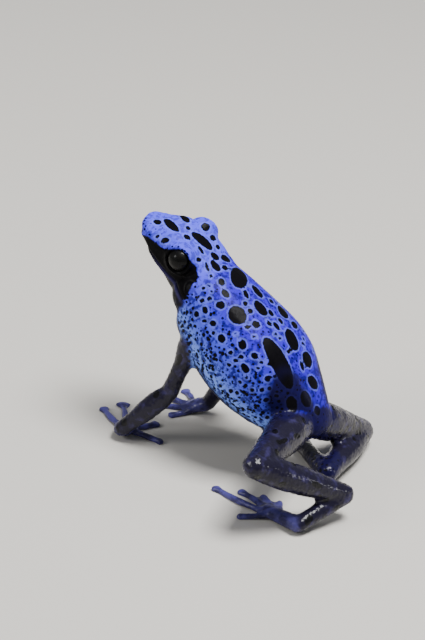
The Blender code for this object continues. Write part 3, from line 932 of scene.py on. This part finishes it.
def node(tree, kind, settings, sockets):
    """Add a node with its settings, and link or set its sockets, in order or by name."""
    made = tree.nodes.new(kind)
    for key, value in settings.items():
        setattr(made, key, value)
    named = sockets.items() if isinstance(sockets, dict) else enumerate(sockets)
    for key, value in named:
        if isinstance(value, bpy.types.NodeSocket):
            tree.links.new(value, made.inputs[key])
        else:
            made.inputs[key].default_value = value
    return made


print("blue as linear light", linear("#5450FF"))

# %% Numbers and noise for the skin
BLUR_SIZE = 1.4
RAG_SIZE = 0.5
skin_material = bpy.data.materials.new("Wet frog skin")
skin_material.use_nodes = True
pigment = skin_material.node_tree
skin_shader = pigment.nodes["Principled BSDF"]
shares = {}
for name in attributes:
    kept = node(pigment, "ShaderNodeAttribute", {"attribute_name": name}, {})
    shares[name] = kept.outputs["Fac"]
places = node(pigment, "ShaderNodeTexCoord", {}, {}).outputs["Object"]
blur = node(pigment, "ShaderNodeTexNoise", {},
            {"Vector": places, "Scale": 1 / (BLUR_SIZE * MM), "Detail": 3.0}).outputs["Fac"]
rag = node(pigment, "ShaderNodeTexNoise", {},
           {"Vector": places, "Scale": 1 / (RAG_SIZE * MM), "Detail": 3.0})
rag_height = node(pigment, "ShaderNodeMath", MINUS, (rag.outputs["Fac"], 0.5)).outputs[0]
print("numbers read by the skin", sorted(shares))

# %% [markdown]
# The small dots are cells of a Voronoi pattern about 0.6 mm apart, bent a little by noise so
# that none is a perfect disc. They are largest on the flank, smaller on the head, and keep
# away from the large spots, as on the real frog.

# %% Dots and large spots
SPECK_SIZE = 0.62
SPECK_BEND = 0.12
SPECK_EDGE = 0.06
SPECK_BY_SIDE = (0.9, 0.3, 0.3, 0.54)
SPECK_CHANCE = (-0.3, 0.9)
SPECK_OFF_HEAD = 0.15
SPECK_OFF_SPOTS = (0.42, 0.15, 0.0, 0.5)
SPOT_RAG = 0.3
SPOT_EDGE = 0.06
bend = (rag.outputs["Color"], (SPECK_BEND * MM,) * 3, places)
bent = node(pigment, "ShaderNodeVectorMath", {"operation": "MULTIPLY_ADD"}, bend).outputs[0]
specks = node(pigment, "ShaderNodeTexVoronoi", {"feature": "F1"},
              {"Vector": bent, "Scale": 1 / (SPECK_SIZE * MM), "Randomness": 0.75})
chance = node(pigment, "ShaderNodeSeparateColor", {}, (specks.outputs["Color"],)).outputs[0]
chance = node(pigment, "ShaderNodeMapRange", SOFT, (chance, *SPECK_CHANCE)).outputs[0]
rag_step = node(pigment, "ShaderNodeMath", TIMES, (rag_height, SPOT_RAG)).outputs[0]
spot_gap = node(pigment, "ShaderNodeMath", PLUS, (shares["spot"], rag_step)).outputs[0]
limit = node(pigment, "ShaderNodeMapRange", SOFT, (shares["dorsal"], *SPECK_BY_SIDE)).outputs[0]
limit = node(pigment, "ShaderNodeMath", TIMES, (limit, chance)).outputs[0]
on_head = node(pigment, "ShaderNodeMath", TIMES, (shares["crown"], SPECK_OFF_HEAD)).outputs[0]
limit = node(pigment, "ShaderNodeMath", MINUS, (limit, on_head)).outputs[0]
by_spot = node(pigment, "ShaderNodeMapRange", SOFT, (spot_gap, *SPECK_OFF_SPOTS)).outputs[0]
limit = node(pigment, "ShaderNodeMath", MINUS, (limit, by_spot)).outputs[0]
speck_gap = node(pigment, "ShaderNodeMath", MINUS, (specks.outputs["Distance"], limit)).outputs[0]
speck = node(pigment, "ShaderNodeMapRange", SOFT, (speck_gap, SPECK_EDGE, -SPECK_EDGE)).outputs[0]
in_spot = node(pigment, "ShaderNodeMapRange", SOFT, (spot_gap, SPOT_EDGE, -SPOT_EDGE)).outputs[0]
dark = node(pigment, "ShaderNodeMath", LARGER, (in_spot, speck)).outputs[0]
print("dots about", SPECK_SIZE, "mm apart")

# %% [markdown]
# The blue runs from violet blue on the back over clear blue on the flanks to sky blue at the
# belly's edge. Fine dark mottling breaks it up, and a paler ring surrounds each large spot.

# %% Blue of head, back and flanks
BLUE_HEAD = "#5450FF"
BLUE_BACK = "#3410CC"
BLUE_FLANK = "#4C54F0"
BLUE_BELLY = "#7A9CFF"
MOTTLE_BLUE = "#180A64"
RING_BLUE = "#7C8CFF"
SPOT_BLACK = "#0A090D"
FLANK_TURN = (0.8, 0.15)
BELLY_TURN = (0.15, -0.35)
MOTTLE_SIZE = 0.75
MOTTLE_BAND = (0.44, 0.62)
MOTTLE_ON_HEAD = (0.2, 1.0, 0.85, 0.5)
RING_BAND = (0.36, 0.1)
RING_SHARE = 0.35
flank = node(pigment, "ShaderNodeMapRange", SOFT, (shares["dorsal"], *FLANK_TURN)).outputs[0]
low_flank = node(pigment, "ShaderNodeMapRange", SOFT, (shares["dorsal"], *BELLY_TURN)).outputs[0]
mottle = node(pigment, "ShaderNodeTexNoise", {},
              {"Vector": bent, "Scale": 1 / (MOTTLE_SIZE * MM), "Detail": 2.0}).outputs["Fac"]
mottle = node(pigment, "ShaderNodeMapRange", SOFT, (mottle, *MOTTLE_BAND)).outputs[0]
less = node(pigment, "ShaderNodeMapRange", SOFT, (shares["crown"], *MOTTLE_ON_HEAD)).outputs[0]
mottle = node(pigment, "ShaderNodeMath", TIMES, (mottle, less)).outputs[0]
ring = node(pigment, "ShaderNodeMapRange", SOFT, (spot_gap, *RING_BAND)).outputs[0]
ring = node(pigment, "ShaderNodeMath", TIMES, (ring, RING_SHARE)).outputs[0]
trunk_layers = ((flank, BLUE_FLANK), (low_flank, BLUE_BELLY), (shares["crown"], BLUE_HEAD),
                (mottle, MOTTLE_BLUE), (ring, RING_BLUE), (dark, SPOT_BLACK))
trunk_colour = linear(BLUE_BACK)
for share, code in trunk_layers:
    layer = {0: share, 6: trunk_colour, 7: linear(code)}
    trunk_colour = node(pigment, "ShaderNodeMix", COLOURS, layer).outputs[2]
print("layers of blue", len(trunk_layers))

# %% Dark limbs and violet digits
# The limbs' own navy, also painted on skin that faces down as shade under the belly.
LIMB_NAVY_BELLY_SHADE = "#1A1728"
LIMB_VIOLET = "#2F2A50"
DIGIT_VIOLET = "#504C90"
VIOLET_BAND = (0.5, 0.75)
BLOT_SIZE = 2.6
BLOT_EDGE = (0.26, 0.22)
DIGIT_PATCHES = (0.36, 0.58, 0.35, 1.0)
violet = node(pigment, "ShaderNodeMapRange", SOFT, (blur, *VIOLET_BAND)).outputs[0]
blots = node(pigment, "ShaderNodeTexVoronoi", {"feature": "F1"},
             {"Vector": bent, "Scale": 1 / (BLOT_SIZE * MM), "Randomness": 1.0})
blot = node(pigment, "ShaderNodeMapRange", SOFT, (blots.outputs["Distance"], *BLOT_EDGE)).outputs[0]
blot = node(pigment, "ShaderNodeMath", LARGER, (blot, in_spot)).outputs[0]
patches = node(pigment, "ShaderNodeMapRange", SOFT, (blur, *DIGIT_PATCHES)).outputs[0]
paler = node(pigment, "ShaderNodeMath", TIMES, (shares["digit"], patches)).outputs[0]
limb_colour = linear(LIMB_NAVY_BELLY_SHADE)
for share, code in ((violet, LIMB_VIOLET), (blot, SPOT_BLACK), (paler, DIGIT_VIOLET)):
    layer = {0: share, 6: limb_colour, 7: linear(code)}
    limb_colour = node(pigment, "ShaderNodeMix", COLOURS, layer).outputs[2]
print("blots about", BLOT_SIZE, "mm apart")

# %% Rump, painted shade on vent, belly and throat, mask and lip
# Dark violet of the rump, also painted as shade round the vent.
RUMP_VIOLET_VENT_SHADE = "#151138"
# Near black painted as shade under the jaw.
THROAT_SHADE = "#0C0A10"
MASK_BLACK = "#080709"
LIP_VIOLET = "#3A3560"
RUMP_BAND = (0.0, 0.75, 0.0, 0.97)
BELLY_SHADE_BAND = (-0.35, -0.75)
HEAD_BAND = (0.7, 1.0)
THROAT_SHARE = 0.99
MASK_RAG = 0.5
MASK_EDGE = (0.12, -0.12)
LIP_SHARE = 0.8
# Dark violet above each thigh, and painted shade round the vent.
rump_dark = node(pigment, "ShaderNodeMapRange", SOFT, (shares["rump"], *RUMP_BAND)).outputs[0]
rump_spots = node(pigment, "ShaderNodeMath", TIMES, (dark, shares["rump"])).outputs[0]
# Skin that faces down, off the head, is painted navy as shade under the belly.
under = node(pigment, "ShaderNodeMapRange", SOFT, (shares["dorsal"], *BELLY_SHADE_BAND)).outputs[0]
off_head = node(pigment, "ShaderNodeMapRange", SOFT, (shares["crown"], *HEAD_BAND)).outputs[0]
belly_shade = node(pigment, "ShaderNodeMath", {**MINUS, "use_clamp": True}, (under, off_head)).outputs[0]
# Painted shade under the jaw, from the mouth line down.
throat_shade = node(pigment, "ShaderNodeMath", TIMES, (shares["throat"], THROAT_SHARE)).outputs[0]
mask_step = node(pigment, "ShaderNodeMath", TIMES, (rag_height, MASK_RAG)).outputs[0]
mask_gap = node(pigment, "ShaderNodeMath", PLUS, (shares["mask"], mask_step)).outputs[0]
masked = node(pigment, "ShaderNodeMapRange", SOFT, (mask_gap, *MASK_EDGE)).outputs[0]
lip_line = node(pigment, "ShaderNodeMath", TIMES, (shares["lip"], LIP_SHARE)).outputs[0]
over = {0: shares["limb"], 6: trunk_colour, 7: limb_colour}
colour = node(pigment, "ShaderNodeMix", COLOURS, over).outputs[2]
last_layers = ((rump_dark, RUMP_VIOLET_VENT_SHADE), (rump_spots, SPOT_BLACK), (belly_shade, LIMB_NAVY_BELLY_SHADE),
               (throat_shade, THROAT_SHADE), (masked, MASK_BLACK), (lip_line, LIP_VIOLET))
for share, code in last_layers:
    layer = {0: share, 6: colour, 7: linear(code)}
    colour = node(pigment, "ShaderNodeMix", COLOURS, layer).outputs[2]
pigment.links.new(colour, skin_shader.inputs["Base Color"])
print("layers over trunk and limbs", len(last_layers))

# %% [markdown]
# The mucus is a clear coat with water's IOR of 1.33 over pigment at 1.38. It is thick enough on
# the limbs to give wet streaks, and so thin on the trunk that its spots stay black. Pores and
# the finest grit are only a third of a millimetre across and a few hundredths deep, so they are
# bump, while the grains above are real form.

# %% Wet film and fine grit
TRUNK_FILM = 0.03
LIMB_FILM = 0.8
FILM_BAND = (0.2, 0.9)
ROUGH_BAND = (0.3, 0.7, 0.34, 0.5)
GRIT_SIZE = 0.34
GRIT_DEEP = 0.03
film = node(pigment, "ShaderNodeMapRange", SOFT,
            (shares["limb"], *FILM_BAND, TRUNK_FILM, LIMB_FILM)).outputs[0]
rough = node(pigment, "ShaderNodeMapRange", SOFT, (rag.outputs["Fac"], *ROUGH_BAND)).outputs[0]
grit = node(pigment, "ShaderNodeTexVoronoi", {"feature": "SMOOTH_F1"},
            {"Vector": places, "Scale": 1 / (GRIT_SIZE * MM), "Randomness": 1.0})
bump = node(pigment, "ShaderNodeBump", {}, {
    "Strength": 0.6, "Distance": GRIT_DEEP * MM, "Height": grit.outputs["Distance"]})
pigment.links.new(film, skin_shader.inputs["Coat Weight"])
pigment.links.new(rough, skin_shader.inputs["Roughness"])
pigment.links.new(bump.outputs["Normal"], skin_shader.inputs["Normal"])
skin_shader.inputs["Specular IOR Level"].default_value = 0.05
skin_shader.inputs["Coat Roughness"].default_value = 0.18
skin_shader.inputs["Coat IOR"].default_value = 1.33
skin_shader.inputs["IOR"].default_value = 1.38
print("nodes in the skin's material", len(pigment.nodes))

# %% [markdown]
# The skin is finished: it is turned to metres, shaded smooth, and it replaces every flesh
# solid. The solids stay behind it for collision only, hidden.

# %% Finish the skin
def finished_piece(name, bm, material):
    """A shown object at the origin, in metres, from a bmesh in millimetres."""
    mesh = bpy.data.meshes.new(name)
    bm.to_mesh(mesh)
    bm.free()
    mesh.transform(Matrix.Scale(MM, 4))
    mesh.shade_smooth()
    mesh.materials.append(material)
    thing = bpy.data.objects.new(name, mesh)
    bpy.context.scene.collection.objects.link(thing)
    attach(thing, "root")
    return thing


skin = finished_piece("frog_skin", skin_bm, skin_material)
for name, values in attributes.items():
    kept = skin.data.attributes.new(name, "FLOAT", "POINT")
    kept.data.foreach_set("value", np.array(values, dtype=np.float32))
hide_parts(*FLESH)
print("skin triangles", sum(len(face.vertices) - 2 for face in skin.data.polygons))

# %% [markdown]
# A dart frog's eye is nearly all dark: a black pupil, wider than it is high, in a dark brown
# iris with a few fine bronze threads, under a clear wet cornea. One ball whose material reads
# the angle from the eye's axis is enough, and a clear shell over it would only add a rim.

# %% Eye material
PUPIL = (0.40, 0.45)
PUPIL_BLACK = "#020202"
IRIS_DARK = "#030303"
IRIS_BRONZE = "#120C08"
THREAD_BAND = (0.5, 0.75)
eye_material = bpy.data.materials.new("Wet cornea over dark iris")
eye_material.use_nodes = True
iris = eye_material.node_tree
eye_shader = iris.nodes["Principled BSDF"]
lean = node(iris, "ShaderNodeAttribute", {"attribute_name": "lean"}, {}).outputs["Fac"]
turn = node(iris, "ShaderNodeAttribute", {"attribute_name": "turn"}, {}).outputs["Vector"]
threads = node(iris, "ShaderNodeTexNoise", {},
               {"Vector": turn, "Scale": 7.0, "Detail": 4.0}).outputs["Fac"]
bronze = node(iris, "ShaderNodeMapRange", {}, (threads, *THREAD_BAND)).outputs[0]
outside = node(iris, "ShaderNodeMapRange", SOFT, (lean, *PUPIL)).outputs[0]
layer = {0: bronze, 6: linear(IRIS_DARK), 7: linear(IRIS_BRONZE)}
iris_colour = node(iris, "ShaderNodeMix", COLOURS, layer).outputs[2]
layer = {0: outside, 6: linear(PUPIL_BLACK), 7: iris_colour}
eye_colour = node(iris, "ShaderNodeMix", COLOURS, layer).outputs[2]
iris.links.new(eye_colour, eye_shader.inputs["Base Color"])
eye_shader.inputs["Roughness"].default_value = 0.5
eye_shader.inputs["Specular IOR Level"].default_value = 0.1
eye_shader.inputs["Coat Weight"].default_value = 0.25
eye_shader.inputs["Coat IOR"].default_value = 1.34
eye_shader.inputs["Coat Roughness"].default_value = 0.02
print("nodes in the eye's material", len(iris.nodes))

# %% Eyes
EYE_FORWARD = math.radians(8)
EYE_LIFT = math.radians(10)
EYE_ROUND = 64
EYE_RINGS = 40
PUPIL_ALONG = 0.85
PUPIL_UP = 1.15
BEHIND = 2.0


def eye_axis(sign):
    """The way one eye looks."""
    flat = math.cos(EYE_LIFT)
    outward = HEAD_SIDE * sign * flat * math.cos(EYE_FORWARD)
    ahead = FORWARD * flat * math.sin(EYE_FORWARD)
    return (outward + ahead + HEAD_UP * math.sin(EYE_LIFT)).normalized()


for sign, centre, name in zip((1, -1), EYE_MIDDLES, EYES):
    axis = eye_axis(sign)
    upright = axis.to_track_quat("Z", "Y").to_matrix().to_4x4()
    eye_bm = bmesh.new()
    bmesh.ops.create_uvsphere(eye_bm, u_segments=EYE_ROUND, v_segments=EYE_RINGS,
                              radius=EYE_RADIUS, matrix=Matrix.Translation(centre) @ upright)
    leans = []
    turns = []
    for vert in eye_bm.verts:
        offset = (vert.co - centre).normalized()
        level = offset - axis * offset.dot(axis)
        oval = math.hypot(level.dot(FORWARD) * PUPIL_ALONG, level.dot(HEAD_UP) * PUPIL_UP)
        leans.append(oval if offset.dot(axis) > 0 else BEHIND)
        turns.extend(level.normalized() if level.length else level)
    piece = finished_piece(name + "_ball", eye_bm, eye_material)
    kept = piece.data.attributes.new("lean", "FLOAT", "POINT")
    kept.data.foreach_set("value", leans)
    kept = piece.data.attributes.new("turn", "FLOAT_VECTOR", "POINT")
    kept.data.foreach_set("vector", turns)
    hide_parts(name)
    print(piece.name, "looks along", axis)

# %% [markdown]
# A plain floor and soft studio light, as in a museum's photo room. Matt paper takes the soft
# shadow and gives no glare. A wide lamp stands above and a little behind, a weaker one to the
# frog's front left and a small faint one low behind it, and an even pale surround fills the
# shade.

# %% Floor
FLOOR_HALF = 0.6
PAPER = "#CFCBC4"
floor_bm = bmesh.new()
bmesh.ops.create_grid(floor_bm, x_segments=1, y_segments=1, size=FLOOR_HALF)
floor_mesh = bpy.data.meshes.new("floor")
floor_bm.to_mesh(floor_mesh)
floor_bm.free()
paper = bpy.data.materials.new("Matt paper")
paper.use_nodes = True
paper_shader = paper.node_tree.nodes["Principled BSDF"]
paper_shader.inputs["Base Color"].default_value = linear(PAPER)
paper_shader.inputs["Roughness"].default_value = 0.8
floor_mesh.materials.append(paper)
floor = bpy.data.objects.new("floor", floor_mesh)
bpy.context.scene.collection.objects.link(floor)
print("floor", FLOOR_HALF * 2, "m square")

# %% Lamps and surround
LAMP_AIM = Vector((0, 0, 0.015))
SURROUND = "#E4E8EE"
SURROUND_STRENGTH = 0.3


def lamp(name, place, size, power):
    """A square soft lamp that shines at the frog."""
    data = bpy.data.lights.new(name, "AREA")
    data.size = size
    data.energy = power
    thing = bpy.data.objects.new(name, data)
    turn = (LAMP_AIM - Vector(place)).to_track_quat("-Z", "Y")
    thing.matrix_world = Matrix.LocRotScale(Vector(place), turn, None)
    bpy.context.scene.collection.objects.link(thing)


lamp("Top lamp", (-0.02, 0.12, 0.5), 0.2, 4.6)
lamp("Front lamp", (0.45, -0.35, 0.35), 0.18, 1.4)
lamp("Window lamp", (-0.2, 0.45, 0.1), 0.06, 0.22)
world = bpy.data.worlds.new("Pale room")
world.use_nodes = True
surround = world.node_tree.nodes["Background"]
surround.inputs["Color"].default_value = linear(SURROUND)
surround.inputs["Strength"].default_value = SURROUND_STRENGTH
bpy.context.scene.world = world
print("lamps", len(bpy.data.lights))
